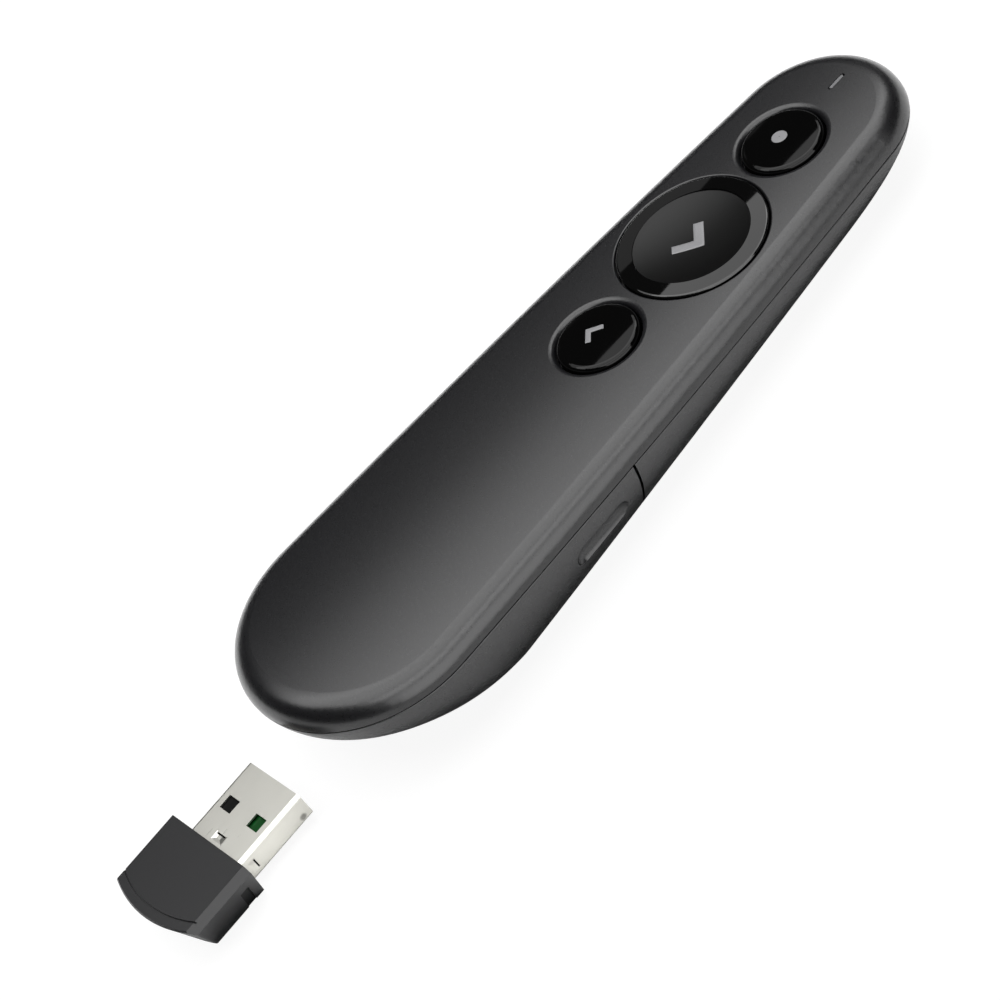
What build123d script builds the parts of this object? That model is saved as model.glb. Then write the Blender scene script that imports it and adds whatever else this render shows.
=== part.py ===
"""Wireless presentation clicker with its USB-A receiver, millimetres, +Z up.

The clicker lies on its belly with the buttons up and its nose toward +Y; the receiver
lies on the same table at the tail, plug toward the clicker. X is left-right. The origin
is the middle of the whole footprint, on the table.
"""
import math
import os

from build123d import *

os.makedirs("parts", exist_ok=True)

# ---------------------------------------------------------------- stance
PITCH = 2.6  # degrees the top face falls toward the nose
NOSE_TIP = 40.7  # nose tip ahead of the next button's centre, level with the table
PLUG_BEHIND = 98.3  # tip of the plug behind the next button's centre
PLUG_L = 12.6
RECV_L = 13.6
OVERALL = NOSE_TIP + PLUG_BEHIND + PLUG_L + RECV_L
TOP_H = 14.15  # top face above the table at the next button's centre
NEXT_Y = OVERALL / 2 - NOSE_TIP
RISE = math.radians(PITCH)
TOP = Plane(
    origin=(0, NEXT_Y, TOP_H),
    x_dir=(1, 0, 0),
    z_dir=(0, math.sin(RISE), math.cos(RISE)),
)
UP = Axis(TOP.origin, TOP.z_dir)

# ---------------------------------------------------------------- case, seen from above
NOSE_R = 14.55
NOSE_C = 26.35  # nose arc centre ahead of the next button
TAIL_R = 20.5
TAIL_C = -72.6
FLANK_R = 1800.0  # the long sides are very slightly bowed

# ---------------------------------------------------------------- case, section
WALL = 1.5
CROWN_R = 150.0  # crown of the top face across its width
SHOULDER = 4.0
SEAM_DROP = 4.3
SEAM_GAP = 0.12
SEAM_EDGE = 0.15  # softened edges along the seams
BELLY_IN = 6.3  # how far the keel lies inside the sides, the nose and the tail
BELLY_NOSE = 36.5
BELLY_TAIL = 21.4
BELLY_POWER = 1.25
BELLY_SINK = 1.0  # the keel would run this far below the table were it not cut flat
BELLY_EDGE = 1.7  # rounding around the flat
LIFT = 2.5  # plain wall drawn above the seam before the hull is trimmed to it
DOOR_Y = -34.6
DOOR_GAP = 0.45

# ---------------------------------------------------------------- buttons
LASER_Y = 20.6
BACK_Y = -20.95
SMALL_R = 6.5
NEXT_R = 11.9
PAD_R = 9.25
BUTTON_GAP = 0.25
SMALL_RIM = 0.9  # soft lead-in of the shell around a small cap
NEXT_RIM = 0.25
TRAVEL = 0.4
PROUD = 0.2  # the caps stand this far out of the shell and share its crown
SMALL_EDGE = 0.8
RING_EDGE = 0.35
PAD_DIP = 0.9
PAD_BASE = -1.95
CAP_T = 1.2
FLANGE_T = 0.5
FLANGE_OUT = 0.85
SMALL_FLANGE = -1.85
NEXT_FLANGE = -2.2
STEM_R = 1.5
STEM_FOOT = -5.3

# ---------------------------------------------------------------- inside
BOARD_TOP = -7.6
BOARD_T = 0.8
CARRIER_TOP = NEXT_FLANGE - FLANGE_T - TRAVEL - 0.1
CARRIER_T = 0.8
TRAY_TOP = -2.5
TRAY_T = 0.8
TRAY_DEPTH = 7.2
CELL_R = 5.25
CELL_LEN = 44.5
TRAY_WALL = 0.8
TROUGH_SIDE = 0.35
TRAY_GAP = 0.55  # the tray keeps this far inside the case's inner wall
TRAY_UNDER = 0.2  # and this far below the inside of its crown
CELL_X = -8.5
CELL_REAR = -77.5
CELL_Z = TRAY_TOP - TRAY_T - 0.1 - CELL_R
FIT = 0.05

# ---------------------------------------------------------------- receiver
PLUG_W = 12.0
PLUG_H = 4.5
PLUG_T = 0.3
PLUG_FACE = NEXT_Y - PLUG_BEHIND - PLUG_L
PLUG_Z = 3.5  # middle of the plug above the table
RECV_W = 18.8
RECV_H = 7.6
RECV_BACK = PLUG_FACE - RECV_L
RECV_REAR_R = 22.0
RECV_DRAFT = 18.5  # degrees the sides and the rear lean in toward the table
RECV_CHAMFER = 1.3
RECV_EDGE = 0.3
RECV_CORNER = 0.4


def outline(inset=0.0, nose_in=0.0, tail_in=0.0):
    """Draw the closed plan curve: nose arc, two bowed sides, tail arc, all tangent."""
    nose_r = NOSE_R - inset
    tail_r = TAIL_R - inset
    nose_y = NOSE_C + inset - nose_in
    tail_y = TAIL_C - inset + tail_in
    side_r = FLANK_R - inset
    span = nose_y - tail_y
    back = ((side_r - nose_r) ** 2 - (side_r - tail_r) ** 2 + span**2) / (2 * span)
    across = math.sqrt((side_r - nose_r) ** 2 - back**2)
    nose_turn = math.atan2(back, across)
    tail_turn = math.atan2(back - span, across)
    half_turn = (nose_turn + tail_turn) / 2
    nose_x = nose_r * math.cos(nose_turn)
    nose_t = nose_y + nose_r * math.sin(nose_turn)
    tail_x = tail_r * math.cos(tail_turn)
    tail_t = tail_y + tail_r * math.sin(tail_turn)
    side_x = side_r * math.cos(half_turn) - across
    side_y = nose_y - back + side_r * math.sin(half_turn)
    with BuildSketch() as plan:
        with BuildLine():
            ThreePointArc((nose_x, nose_t), (0, nose_y + nose_r), (-nose_x, nose_t))
            ThreePointArc((-nose_x, nose_t), (-side_x, side_y), (-tail_x, tail_t))
            ThreePointArc((-tail_x, tail_t), (0, tail_y - tail_r), (tail_x, tail_t))
            ThreePointArc((tail_x, tail_t), (side_x, side_y), (nose_x, nose_t))
        make_face()
    return plan.sketch


def hull(inset=0.0):
    """Lower half of the case as a lofted boat hull, seam down to the flat belly."""
    seam = TOP.offset(-SEAM_DROP)
    keel = inset - BELLY_SINK
    with BuildPart() as body:
        with BuildSketch(TOP.offset(LIFT - SEAM_DROP)):
            add(outline(inset, inset, inset))
        for turn in (0, 16, 32, 46, 58, 70, 80):
            inward = 1 - math.cos(math.radians(turn)) ** BELLY_POWER
            down = math.sin(math.radians(turn)) ** BELLY_POWER
            tilt = RISE * (1 - down)
            level = Plane(
                origin=(0, seam.origin.Y, seam.origin.Z * (1 - down) + keel * down),
                x_dir=(1, 0, 0),
                z_dir=(0, math.sin(tilt), math.cos(tilt)),
            )
            with BuildSketch(level):
                add(
                    outline(
                        inset + BELLY_IN * inward,
                        inset + BELLY_NOSE * inward,
                        inset + BELLY_TAIL * inward,
                    )
                )
        loft()
        split(bisect_by=Plane.XY.offset(inset), keep=Keep.TOP)
        fillet(body.faces().sort_by(Axis.Z)[0].edges(), BELLY_EDGE - inset / 3)
    return body.part


def crest(inset=0.0):
    """Upper half of the case: crowned top with its rounded shoulder, left deep below."""
    with BuildPart() as body:
        with BuildSketch(TOP.offset(-2 * SEAM_DROP)):
            add(outline(inset, inset, inset))
        extrude(amount=2 * SEAM_DROP + 1)
        with Locations(at(0, 0, -CROWN_R)):
            Cylinder(CROWN_R - inset, 2 * OVERALL, rotation=(90, 0, 0), mode=Mode.INTERSECT)
        fillet(body.faces().sort_by(UP)[-1].edges(), SHOULDER - inset)
    return body.part


def at(x, y, z=0.0):
    """Placement on the top face: across, toward the nose, out of the face."""
    return TOP.location * Location((x, y, z))


def upright(y, x=0.0, z=0.0):
    """Drawing plane across the clicker through a point of its top face, Y being up."""
    spot = TOP.from_local_coords(Vector(x, y, z))
    return Plane(origin=spot, x_dir=(1, 0, 0), z_dir=-TOP.y_dir)


HULL_OUT = hull()
HULL_IN = hull(WALL)
CREST_OUT = crest()
CREST_IN = crest(WALL)
SEAM_UP = TOP.offset(SEAM_GAP / 2 - SEAM_DROP)
SEAM_DN = TOP.offset(-SEAM_GAP / 2 - SEAM_DROP)
with BuildPart() as bowl:
    add(HULL_OUT)
    split(bisect_by=SEAM_DN, keep=Keep.BOTTOM)
    fillet(bowl.faces().sort_by(UP)[-1].edges(), SEAM_EDGE)
BOWL = bowl.part
DOOR_FRONT = Plane(origin=upright(DOOR_Y - DOOR_GAP / 2).origin, z_dir=TOP.y_dir)
SHELL_REAR = Plane(origin=upright(DOOR_Y + DOOR_GAP / 2).origin, z_dir=TOP.y_dir)

# ---------------------------------------------------------------- shared places
BUTTON_YS = (LASER_Y, 0.0, BACK_Y)
BUTTON_RS = (SMALL_R, NEXT_R, SMALL_R)
RIM_RS = (SMALL_RIM, NEXT_RIM, SMALL_RIM)
LED_Y = 33.4
LED_L = 3.5
LED_W = 0.75
LASER_Z = -4.5
LASER_R = 2.3
DIODE_T = 0.6
CAP_CLEAR = 0.35
LASER_BACK = LASER_Y + SMALL_R + FLANGE_OUT + CAP_CLEAR + DIODE_T
LASER_FRONT = 34.2
SADDLE_W = 6.6
SADDLE_L = 3.0
WINDOW_W = 5.6
WINDOW_H = 2.6
STAKES = [(x, y) for x in (-10.0, 10.0) for y in (-13.6, 13.6)]
BOARD_PINS = [(x, y) for x in (-8.4, 8.4) for y in (-20.5, 12.5)]
TRAY_SCREWS = ((6.0, -76.5), (2.6, -36.3))
SCREW_IN = 8.5
CASE_SCREW = (TAIL_R - SCREW_IN, -36.8)
EAR_TOP = -5.5
EAR_T = 1.0
EAR_R = 2.6
TAB_TOP = -5.0
TAB_T = 1.4
TAB_W = 7.2
TAB_L = 8.8
TAB_R = 1.5
TAB_FORE = 1.4  # middle of the tab ahead of its screw
ARM_L = 4.6
BOSS_R = 2.2
PILOT_R = 0.65
PILOT_TOP = -2.4
STAKE_R = 0.7
STAKE_FOOT_R = 1.3
PIN_R = 0.75
POST_R = 1.7
ROOT = -1.0  # pegs and bosses start this far down, inside the shell's wall


def peg(radius, length, spots, mode=Mode.ADD):
    """Round pegs, or holes, hanging down from each of the spots."""
    with Locations(spots):
        Cylinder(radius, length, align=(Align.CENTER, Align.CENTER, Align.MAX), mode=mode)


# ================================================================ case
# Upper half: one moulding with three button wells and the lamp slit. Bosses for the
# screws and stakes for the button carrier hang from its inside.
with BuildPart() as top_shell:
    add(CREST_OUT)
    split(bisect_by=SEAM_UP, keep=Keep.TOP)
    fillet(top_shell.faces().sort_by(UP)[0].edges(), SEAM_EDGE)
    add(CREST_IN, mode=Mode.SUBTRACT)
    peg(BOSS_R, ROOT - EAR_TOP, [at(x, y, ROOT) for x, y in TRAY_SCREWS])
    peg(BOSS_R, ROOT - TAB_TOP, [at(*CASE_SCREW, ROOT)])
    peg(STAKE_FOOT_R, ROOT - CARRIER_TOP, [at(x, y, ROOT) for x, y in STAKES])
    peg(STAKE_R, ROOT - CARRIER_TOP + CARRIER_T + 0.3, [at(x, y, ROOT) for x, y in STAKES])
    pilots = [at(x, y, PILOT_TOP) for x, y in (*TRAY_SCREWS, CASE_SCREW)]
    peg(PILOT_R, TRAY_DEPTH, pilots, Mode.SUBTRACT)
    for y, r, rim in zip(BUTTON_YS, BUTTON_RS, RIM_RS):
        peg(r + BUTTON_GAP, 4.0, [at(0, y, 1.0)], Mode.SUBTRACT)
        fillet(top_shell.edges(Select.LAST).sort_by(UP)[-1], rim)
    with BuildSketch(TOP.offset(1.0)):
        with Locations((0, LED_Y)):
            SlotOverall(LED_L, LED_W, rotation=90)
    extrude(amount=-4.0, mode=Mode.SUBTRACT)
    with BuildSketch(upright(LASER_FRONT, z=LASER_Z)):
        SlotOverall(WINDOW_W + 2 * FIT, WINDOW_H + 2 * FIT)
    extrude(amount=-20, mode=Mode.SUBTRACT)
top_shell.part.label = "top_shell"

# Lower half ahead of the battery door: carries the circuit board on four posts, a saddle
# for the laser and a tab that reaches back under the door for the case screw.
with BuildPart() as lower_shell:
    add(BOWL)
    add(HULL_IN, mode=Mode.SUBTRACT)
    peg(POST_R, TOP_H, [at(x, y, BOARD_TOP - BOARD_T) for x, y in BOARD_PINS])
    with Locations(at(0, (LASER_BACK + LASER_FRONT) / 2, LASER_Z - 0.4)):
        Box(SADDLE_W, SADDLE_L, TOP_H, align=(Align.CENTER, Align.CENTER, Align.MAX))
    with BuildSketch(TOP.offset(TAB_TOP)):
        with Locations((CASE_SCREW[0] - TAB_W / 2, DOOR_Y)):
            Rectangle(2 * TAIL_R, ARM_L, align=(Align.MIN, Align.MIN))
    extrude(amount=-TAB_T)
    add(BOWL, mode=Mode.INTERSECT)
    split(bisect_by=SHELL_REAR, keep=Keep.TOP)
    with BuildSketch(upright(LASER_FRONT + FIT, z=LASER_Z)):
        Circle(LASER_R + FIT)
    extrude(amount=10, mode=Mode.SUBTRACT)
    peg(PIN_R - FIT, BOARD_T + 0.35, [at(x, y, BOARD_TOP + 0.3) for x, y in BOARD_PINS])
    with BuildSketch(TOP.offset(TAB_TOP)):
        with Locations((CASE_SCREW[0], CASE_SCREW[1] + TAB_FORE)):
            RectangleRounded(TAB_W, TAB_L, TAB_R)
    extrude(amount=-TAB_T)
    peg(PILOT_R + 0.2, 4.0, [at(*CASE_SCREW, TAB_TOP + 1)], Mode.SUBTRACT)
    with BuildSketch(upright(LASER_FRONT, z=LASER_Z)):
        SlotOverall(WINDOW_W + 2 * FIT, WINDOW_H + 2 * FIT)
    extrude(amount=-20, mode=Mode.SUBTRACT)
lower_shell.part.label = "lower_shell"

# Battery door: the whole rear half of the underside. It slides off toward the tail, held
# at the front by a tongue inside the shell, and has a finger recess in each side.
GRIP_Y = -43.5
GRIP_Z = -9.7
GRIP_L = 7.6  # straight length between the rounded ends
GRIP_R = 2.3
GRIP_X = 19.55  # axis of the scoop, just outside the case
GRIP_TURN = 1.9  # degrees, so the scoop follows the case's widening
HOOK_W = 7.0
HOOK_L = 6.0
HOOK_T = 0.78
HOOK_LIFT = 0.12  # gap between the hook and the floor of the shell ahead
HOOK_ROOT_L = HOOK_L - DOOR_GAP
DOOR_TOE = TOP.from_local_coords(Vector(0, DOOR_Y, WALL - TOP_H)).Y
with BuildPart() as battery_door:
    add(BOWL)
    add(HULL_IN, mode=Mode.SUBTRACT)
    split(bisect_by=DOOR_FRONT, keep=Keep.BOTTOM)
    for side in (-1, 1):
        seat = at(side * GRIP_X, GRIP_Y, GRIP_Z) * Location((0, 0, 0), (0, 0, side * GRIP_TURN))
        with Locations(seat):
            Cylinder(GRIP_R, GRIP_L, rotation=(90, 0, 0), mode=Mode.SUBTRACT)
        with Locations(*[seat * Location((0, end * GRIP_L / 2, 0)) for end in (-1, 1)]):
            Sphere(GRIP_R, mode=Mode.SUBTRACT)
    with Locations((0, DOOR_TOE - HOOK_L / 2, WALL - 0.1)):
        Box(HOOK_W, HOOK_ROOT_L, HOOK_T + 0.22, align=(Align.CENTER, Align.CENTER, Align.MIN))
    with Locations((0, DOOR_TOE - HOOK_L / 4, WALL + HOOK_LIFT)):
        Box(HOOK_W, HOOK_L, HOOK_T, align=(Align.CENTER, Align.CENTER, Align.MIN))
battery_door.part.label = "battery_door"


# Laser window: a small dark lens plate filling the pill-shaped opening in the nose,
# ground flush with both halves of the case.
with BuildPart() as laser_window:
    with BuildSketch(upright(LASER_FRONT, z=LASER_Z)):
        SlotOverall(WINDOW_W, WINDOW_H)
    extrude(amount=-20)
    add(HULL_OUT, mode=Mode.INTERSECT)
    add(CREST_OUT, mode=Mode.INTERSECT)
    add(HULL_IN, mode=Mode.SUBTRACT)
laser_window.part.label = "laser_window"

# ================================================================ buttons
# Each cap is crowned like the case. A flange under the shell stops it coming out and a
# stem reaches down to its switch.
def small_cap(y):
    """Round cap with a rolled edge, hollow beneath around its stem."""
    low = SMALL_FLANGE - FLANGE_T
    with BuildPart() as cap:
        peg(SMALL_R, 1.0 - low, [at(0, y, 1.0)])
        with Locations(at(0, y, -CROWN_R)):
            Cylinder(CROWN_R + PROUD, 4 * SMALL_R, rotation=(90, 0, 0), mode=Mode.INTERSECT)
        fillet(cap.faces().sort_by(UP)[-1].edges(), SMALL_EDGE)
        peg(SMALL_R + FLANGE_OUT, FLANGE_T, [at(0, y, SMALL_FLANGE)])
        peg(SMALL_R - CAP_T, TOP_H, [at(0, y, PROUD - CAP_T)], Mode.SUBTRACT)
        peg(STEM_R, PROUD - CAP_T - STEM_FOOT, [at(0, y, PROUD - CAP_T)])
    return cap.part


laser_button = small_cap(LASER_Y)
laser_button.label = "laser_button"
back_button = small_cap(BACK_Y)
back_button.label = "back_button"

# The next button is two mouldings: a glossy ring with floor, flange and stem ...
with BuildPart() as next_ring:
    peg(NEXT_R, 1.0 - NEXT_FLANGE, [at(0, 0, 1.0)])
    with Locations(at(0, 0, -CROWN_R)):
        Cylinder(CROWN_R + PROUD, 4 * NEXT_R, rotation=(90, 0, 0), mode=Mode.INTERSECT)
    fillet(next_ring.faces().sort_by(UP)[-1].edges(), RING_EDGE)
    peg(PAD_R, 1.0 - PAD_BASE, [at(0, 0, 1.0)], Mode.SUBTRACT)
    peg(NEXT_R + FLANGE_OUT, FLANGE_T, [at(0, 0, NEXT_FLANGE)])
    peg(STEM_R, NEXT_FLANGE - STEM_FOOT, [at(0, 0, NEXT_FLANGE)])
next_ring.part.label = "next_ring"

# ... and a satin dished pad pressed into it, its rim level with the ring.
PAD_RIM = PROUD - PAD_R**2 / (2 * CROWN_R)
with BuildPart() as next_pad:
    with BuildSketch(upright(0)):
        with BuildLine():
            ThreePointArc(
                (0, PAD_RIM - PAD_DIP),
                ((PAD_R - FIT) / 2, PAD_RIM - 0.75 * PAD_DIP),
                (PAD_R - FIT, PAD_RIM),
            )
            Polyline(
                (PAD_R - FIT, PAD_RIM),
                (PAD_R - FIT, PAD_BASE),
                (0, PAD_BASE),
                (0, PAD_RIM - PAD_DIP),
            )
        make_face()
    revolve(axis=UP)
next_pad.part.label = "next_pad"

# Thin plate heat-staked under the shell, it keeps the three caps square over the switches.
CARRIER_W = 24.0
CARRIER_L = 54.6
with BuildPart() as button_carrier:
    with BuildSketch(TOP.offset(CARRIER_TOP)):
        with Locations((0, -0.4)):
            RectangleRounded(CARRIER_W, CARRIER_L, 4.0)
        with Locations(*[(0, y) for y in BUTTON_YS]):
            Circle(STEM_R + 0.35, mode=Mode.SUBTRACT)
        with Locations(*STAKES):
            Circle(STAKE_R + FIT, mode=Mode.SUBTRACT)
    extrude(amount=-CARRIER_T)
button_carrier.part.label = "button_carrier"

# ================================================================ electronics
BOARD_W = 21.0
BOARD_L = 53.5
with BuildPart() as main_board:
    with BuildSketch(TOP.offset(BOARD_TOP)):
        with Locations((0, -0.75)):
            RectangleRounded(BOARD_W, BOARD_L, 3.0)
        with Locations(*BOARD_PINS):
            Circle(PIN_R, mode=Mode.SUBTRACT)
    extrude(amount=-BOARD_T)
main_board.part.label = "main_board"

SWITCH_W = 4.5
SWITCH_H = 1.7
PLUNGER_R = 1.0
switches = []
plungers = []
for name, y in zip(("laser", "next", "back"), BUTTON_YS):
    with BuildPart() as switch:
        with Locations(at(0, y, BOARD_TOP)):
            Box(SWITCH_W, SWITCH_W, SWITCH_H, align=(Align.CENTER, Align.CENTER, Align.MIN))
        peg(PLUNGER_R + FIT, 1.3, [at(0, y, BOARD_TOP + SWITCH_H)], Mode.SUBTRACT)
    switch.part.label = f"switch_{name}"
    switches.append(switch.part)
    with BuildPart() as plunger:
        peg(PLUNGER_R, 1.2, [at(0, y, STEM_FOOT)])
    plunger.part.label = f"plunger_{name}"
    plungers.append(plunger.part)

CHIPS = (
    ("radio_chip", 0.0, 10.4, 5.0, 5.0, 0.9),
    ("crystal", 5.6, 8.6, 3.2, 2.5, 0.7),
    ("power_chip", 0.0, -10.6, 3.0, 3.0, 1.0),
    ("inductor", -5.4, -10.6, 3.6, 3.6, 1.8),
)
chips = []
for name, x, y, wide, long, high in CHIPS:
    with BuildPart() as chip:
        with Locations(at(x, y, BOARD_TOP)):
            Box(wide, long, high, align=(Align.CENTER, Align.CENTER, Align.MIN))
    chip.part.label = name
    chips.append(chip.part)

with BuildPart() as capacitors:
    for row in range(4):
        for side in (-1, 1):
            with Locations(at(side * 5.0, -16.5 + 1.7 * row - 8 * (row > 2), BOARD_TOP)):
                Box(1.0, 0.5, 0.5, align=(Align.CENTER, Align.CENTER, Align.MIN))
capacitors.part.label = "capacitors"

# Status lamp: a clear light pipe in the slit, a tiny lamp beside the laser and the flex
# strip that brings its current from the board.
PIPE_END = 0.3  # the bar stands clear of the slit's ends and sides
PIPE_SIDE = 0.1
PIPE_FOOT = -WALL - 0.1
PIPE_T = 0.5
PIPE_ARM = 1.0
LAMP_X = 3.8
with BuildPart() as light_pipe:
    with BuildSketch(TOP.offset(PIPE_FOOT)):
        with Locations((0, LED_Y)):
            SlotOverall(LED_L - 2 * PIPE_END, LED_W - 2 * PIPE_SIDE, rotation=90)
    extrude(amount=-PIPE_FOOT - 0.03)
    with Locations(at(1.7, LED_Y, PIPE_FOOT)):
        Box(5.8, 3.0, PIPE_T, align=(Align.CENTER, Align.CENTER, Align.MAX))
    with Locations(at(LAMP_X, LED_Y, PIPE_FOOT - PIPE_T)):
        Box(1.6, 2.0, PIPE_ARM, align=(Align.CENTER, Align.CENTER, Align.MAX))
light_pipe.part.label = "light_pipe"

LAMP_TOP = PIPE_FOOT - PIPE_T - PIPE_ARM - 0.05
LAMP_H = 0.6
with BuildPart() as status_lamp:
    with Locations(at(LAMP_X, LED_Y, LAMP_TOP)):
        Box(0.8, 1.6, LAMP_H, align=(Align.CENTER, Align.CENTER, Align.MAX))
status_lamp.part.label = "status_lamp"

FLEX_T = 0.2
FLEX_Y = 27.3
FLEX_TOP = LAMP_TOP - LAMP_H
with BuildPart() as lamp_flex:
    with Locations(at(LAMP_X, (35.0 + FLEX_Y) / 2, FLEX_TOP)):
        Box(2.2, 35.0 - FLEX_Y, FLEX_T, align=(Align.CENTER, Align.CENTER, Align.MAX))
    with Locations(at(LAMP_X, FLEX_Y + FLEX_T / 2, FLEX_TOP)):
        Box(2.2, FLEX_T, FLEX_TOP - BOARD_TOP, align=(Align.CENTER, Align.CENTER, Align.MAX))
    with Locations(at(LAMP_X, FLEX_Y - 1.3, BOARD_TOP)):
        Box(2.2, 3.0, FLEX_T, align=(Align.CENTER, Align.CENTER, Align.MIN))
lamp_flex.part.label = "lamp_flex"

# Laser: brass barrel with a glass lens in front and the diode pressed in behind.
with BuildPart() as laser_barrel:
    with BuildSketch(upright(LASER_FRONT, z=LASER_Z)):
        Circle(LASER_R)
    extrude(amount=LASER_FRONT - LASER_BACK)
    with BuildSketch(upright(LASER_FRONT, z=LASER_Z)):
        Circle(1.3)
    extrude(amount=3.6, mode=Mode.SUBTRACT)
laser_barrel.part.label = "laser_barrel"

with BuildPart() as laser_lens:
    with BuildSketch(upright(LASER_FRONT - 0.3, z=LASER_Z)):
        Circle(1.3 - FIT)
    extrude(amount=1.0)
    fillet(laser_lens.edges().sort_by(Axis.Y)[-1], 0.3)
laser_lens.part.label = "laser_lens"

DIODE_R = 2.1
with BuildPart() as laser_diode:
    with BuildSketch(upright(LASER_BACK, z=LASER_Z)):
        Circle(DIODE_R)
    extrude(amount=DIODE_T)
    with BuildSketch(upright(LASER_BACK - DIODE_T, z=LASER_Z)):
        with Locations((-0.7, -0.5), (0.7, -0.5), (0, -1.2)):
            Circle(0.2)
    extrude(amount=1.6)
laser_diode.part.label = "laser_diode"

# ================================================================ battery tray
# Moulded tray screwed under the upper shell: a trough for the battery on the left, a bay
# on the right where the receiver is carried.
TROUGH_L = CELL_X - CELL_R - TROUGH_SIDE
TROUGH_R = CELL_X + CELL_R + TROUGH_SIDE
CONTACT_T = 0.4
TROUGH_REAR = CELL_REAR - CONTACT_T - 0.05
CELL_FRONT = CELL_REAR + CELL_LEN
SPRING_L = 3.3
TROUGH_FRONT = CELL_FRONT + SPRING_L + CONTACT_T
BAY_L = TROUGH_R + TRAY_WALL
BAY_R = BAY_L + RECV_W + 0.3
BAY_REAR = -68.9
BAY_FRONT = -41.1


def slab(x0, x1, y0, y1, top, depth, mode=Mode.ADD):
    """Block under the top face between two sides and two ends."""
    with Locations(at((x0 + x1) / 2, (y0 + y1) / 2, top)):
        Box(x1 - x0, y1 - y0, depth, align=(Align.CENTER, Align.CENTER, Align.MAX), mode=mode)


with BuildPart() as battery_tray:
    with BuildSketch(TOP.offset(TRAY_TOP)):
        with Locations(((TROUGH_L + TROUGH_R) / 2, (TROUGH_REAR + TROUGH_FRONT) / 2)):
            RectangleRounded(
                TROUGH_R - TROUGH_L + 2 * TRAY_WALL,
                TROUGH_FRONT - TROUGH_REAR + 2 * TRAY_WALL,
                2.0,
            )
        with Locations(((BAY_L + BAY_R) / 2, (BAY_REAR + BAY_FRONT) / 2)):
            RectangleRounded(
                BAY_R - BAY_L + 2 * TRAY_WALL,
                BAY_FRONT - BAY_REAR + 2 * TRAY_WALL,
                1.0,
            )
    extrude(amount=-TRAY_DEPTH)
    under = TRAY_TOP - TRAY_T
    deep = TRAY_DEPTH
    slab(TROUGH_L, TROUGH_R, TROUGH_REAR, TROUGH_FRONT, under, deep, Mode.SUBTRACT)
    slab(BAY_L, BAY_R, BAY_REAR, BAY_FRONT, under, deep, Mode.SUBTRACT)
    with BuildSketch(TOP.offset(EAR_TOP)):
        for (x, y), end in zip(TRAY_SCREWS, (BAY_REAR, BAY_FRONT)):
            with Locations((x, y)):
                Circle(EAR_R)
            with Locations((x, (y + end) / 2)):
                Rectangle(2 * EAR_R, abs(y - end))
    extrude(amount=-EAR_T)
    peg(PILOT_R + 0.2, 4.0, [at(x, y, EAR_TOP + 1) for x, y in TRAY_SCREWS], Mode.SUBTRACT)
    add(hull(WALL + TRAY_GAP), mode=Mode.INTERSECT)
    add(crest(WALL + TRAY_UNDER), mode=Mode.INTERSECT)
battery_tray.part.label = "battery_tray"

CELL_NUB = 1.2
with BuildPart() as battery_can:
    with BuildSketch(upright(CELL_FRONT, CELL_X, CELL_Z)):
        Circle(CELL_R)
    extrude(amount=CELL_LEN - CELL_NUB)
    fillet(battery_can.edges().filter_by(GeomType.CIRCLE), 0.5)
battery_can.part.label = "battery_can"

with BuildPart() as battery_cap:
    with BuildSketch(upright(CELL_REAR, CELL_X, CELL_Z)):
        Circle(1.9)
    extrude(amount=-CELL_NUB)
    fillet(battery_cap.edges().sort_by(Axis.Y)[0], 0.3)
battery_cap.part.label = "battery_cap"

with BuildPart() as contact_plus:
    slab(CELL_X - 3.6, CELL_X + 3.6, CELL_REAR - CONTACT_T, CELL_REAR, under - 0.1, 6.0)
contact_plus.part.label = "contact_plus"

with BuildPart() as contact_minus:
    slab(CELL_X - 4.4, CELL_X + 4.4, TROUGH_FRONT - CONTACT_T, TROUGH_FRONT, under - 0.1, 6.2)
contact_minus.part.label = "contact_minus"

SPRING_WIRE = 0.3
coil = Helix(
    pitch=(SPRING_L - 2 * SPRING_WIRE) / 3,
    height=SPRING_L - 2 * SPRING_WIRE,
    radius=2.6,
    center=(0, 0, 0),
    direction=(0, 0, 1),
)
with BuildPart() as battery_spring:
    with BuildSketch(Plane(coil @ 0, z_dir=coil % 0)):
        Circle(SPRING_WIRE)
    sweep(path=coil)
battery_spring = battery_spring.part.moved(
    Plane(
        origin=TOP.from_local_coords(Vector(CELL_X, CELL_FRONT + SPRING_WIRE, CELL_Z)),
        z_dir=TOP.y_dir,
    ).location
)
battery_spring.label = "battery_spring"

# ================================================================ screws
SCREW_R = 0.6
HEAD_R = 1.45
HEAD_H = 1.0
SCREW_L = 2.9
with BuildPart() as tray_screws:
    for x, y in TRAY_SCREWS:
        peg(HEAD_R, HEAD_H, [at(x, y, EAR_TOP - EAR_T)])
        peg(SCREW_R, SCREW_L + EAR_T, [at(x, y, EAR_TOP + SCREW_L)])
tray_screws.part.label = "tray_screws"

with BuildPart() as case_screw:
    peg(HEAD_R, HEAD_H, [at(*CASE_SCREW, TAB_TOP - TAB_T)])
    peg(SCREW_R, SCREW_L - 0.5 + TAB_T, [at(*CASE_SCREW, TAB_TOP + SCREW_L - 0.5)])
case_screw.part.label = "case_screw"

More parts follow.
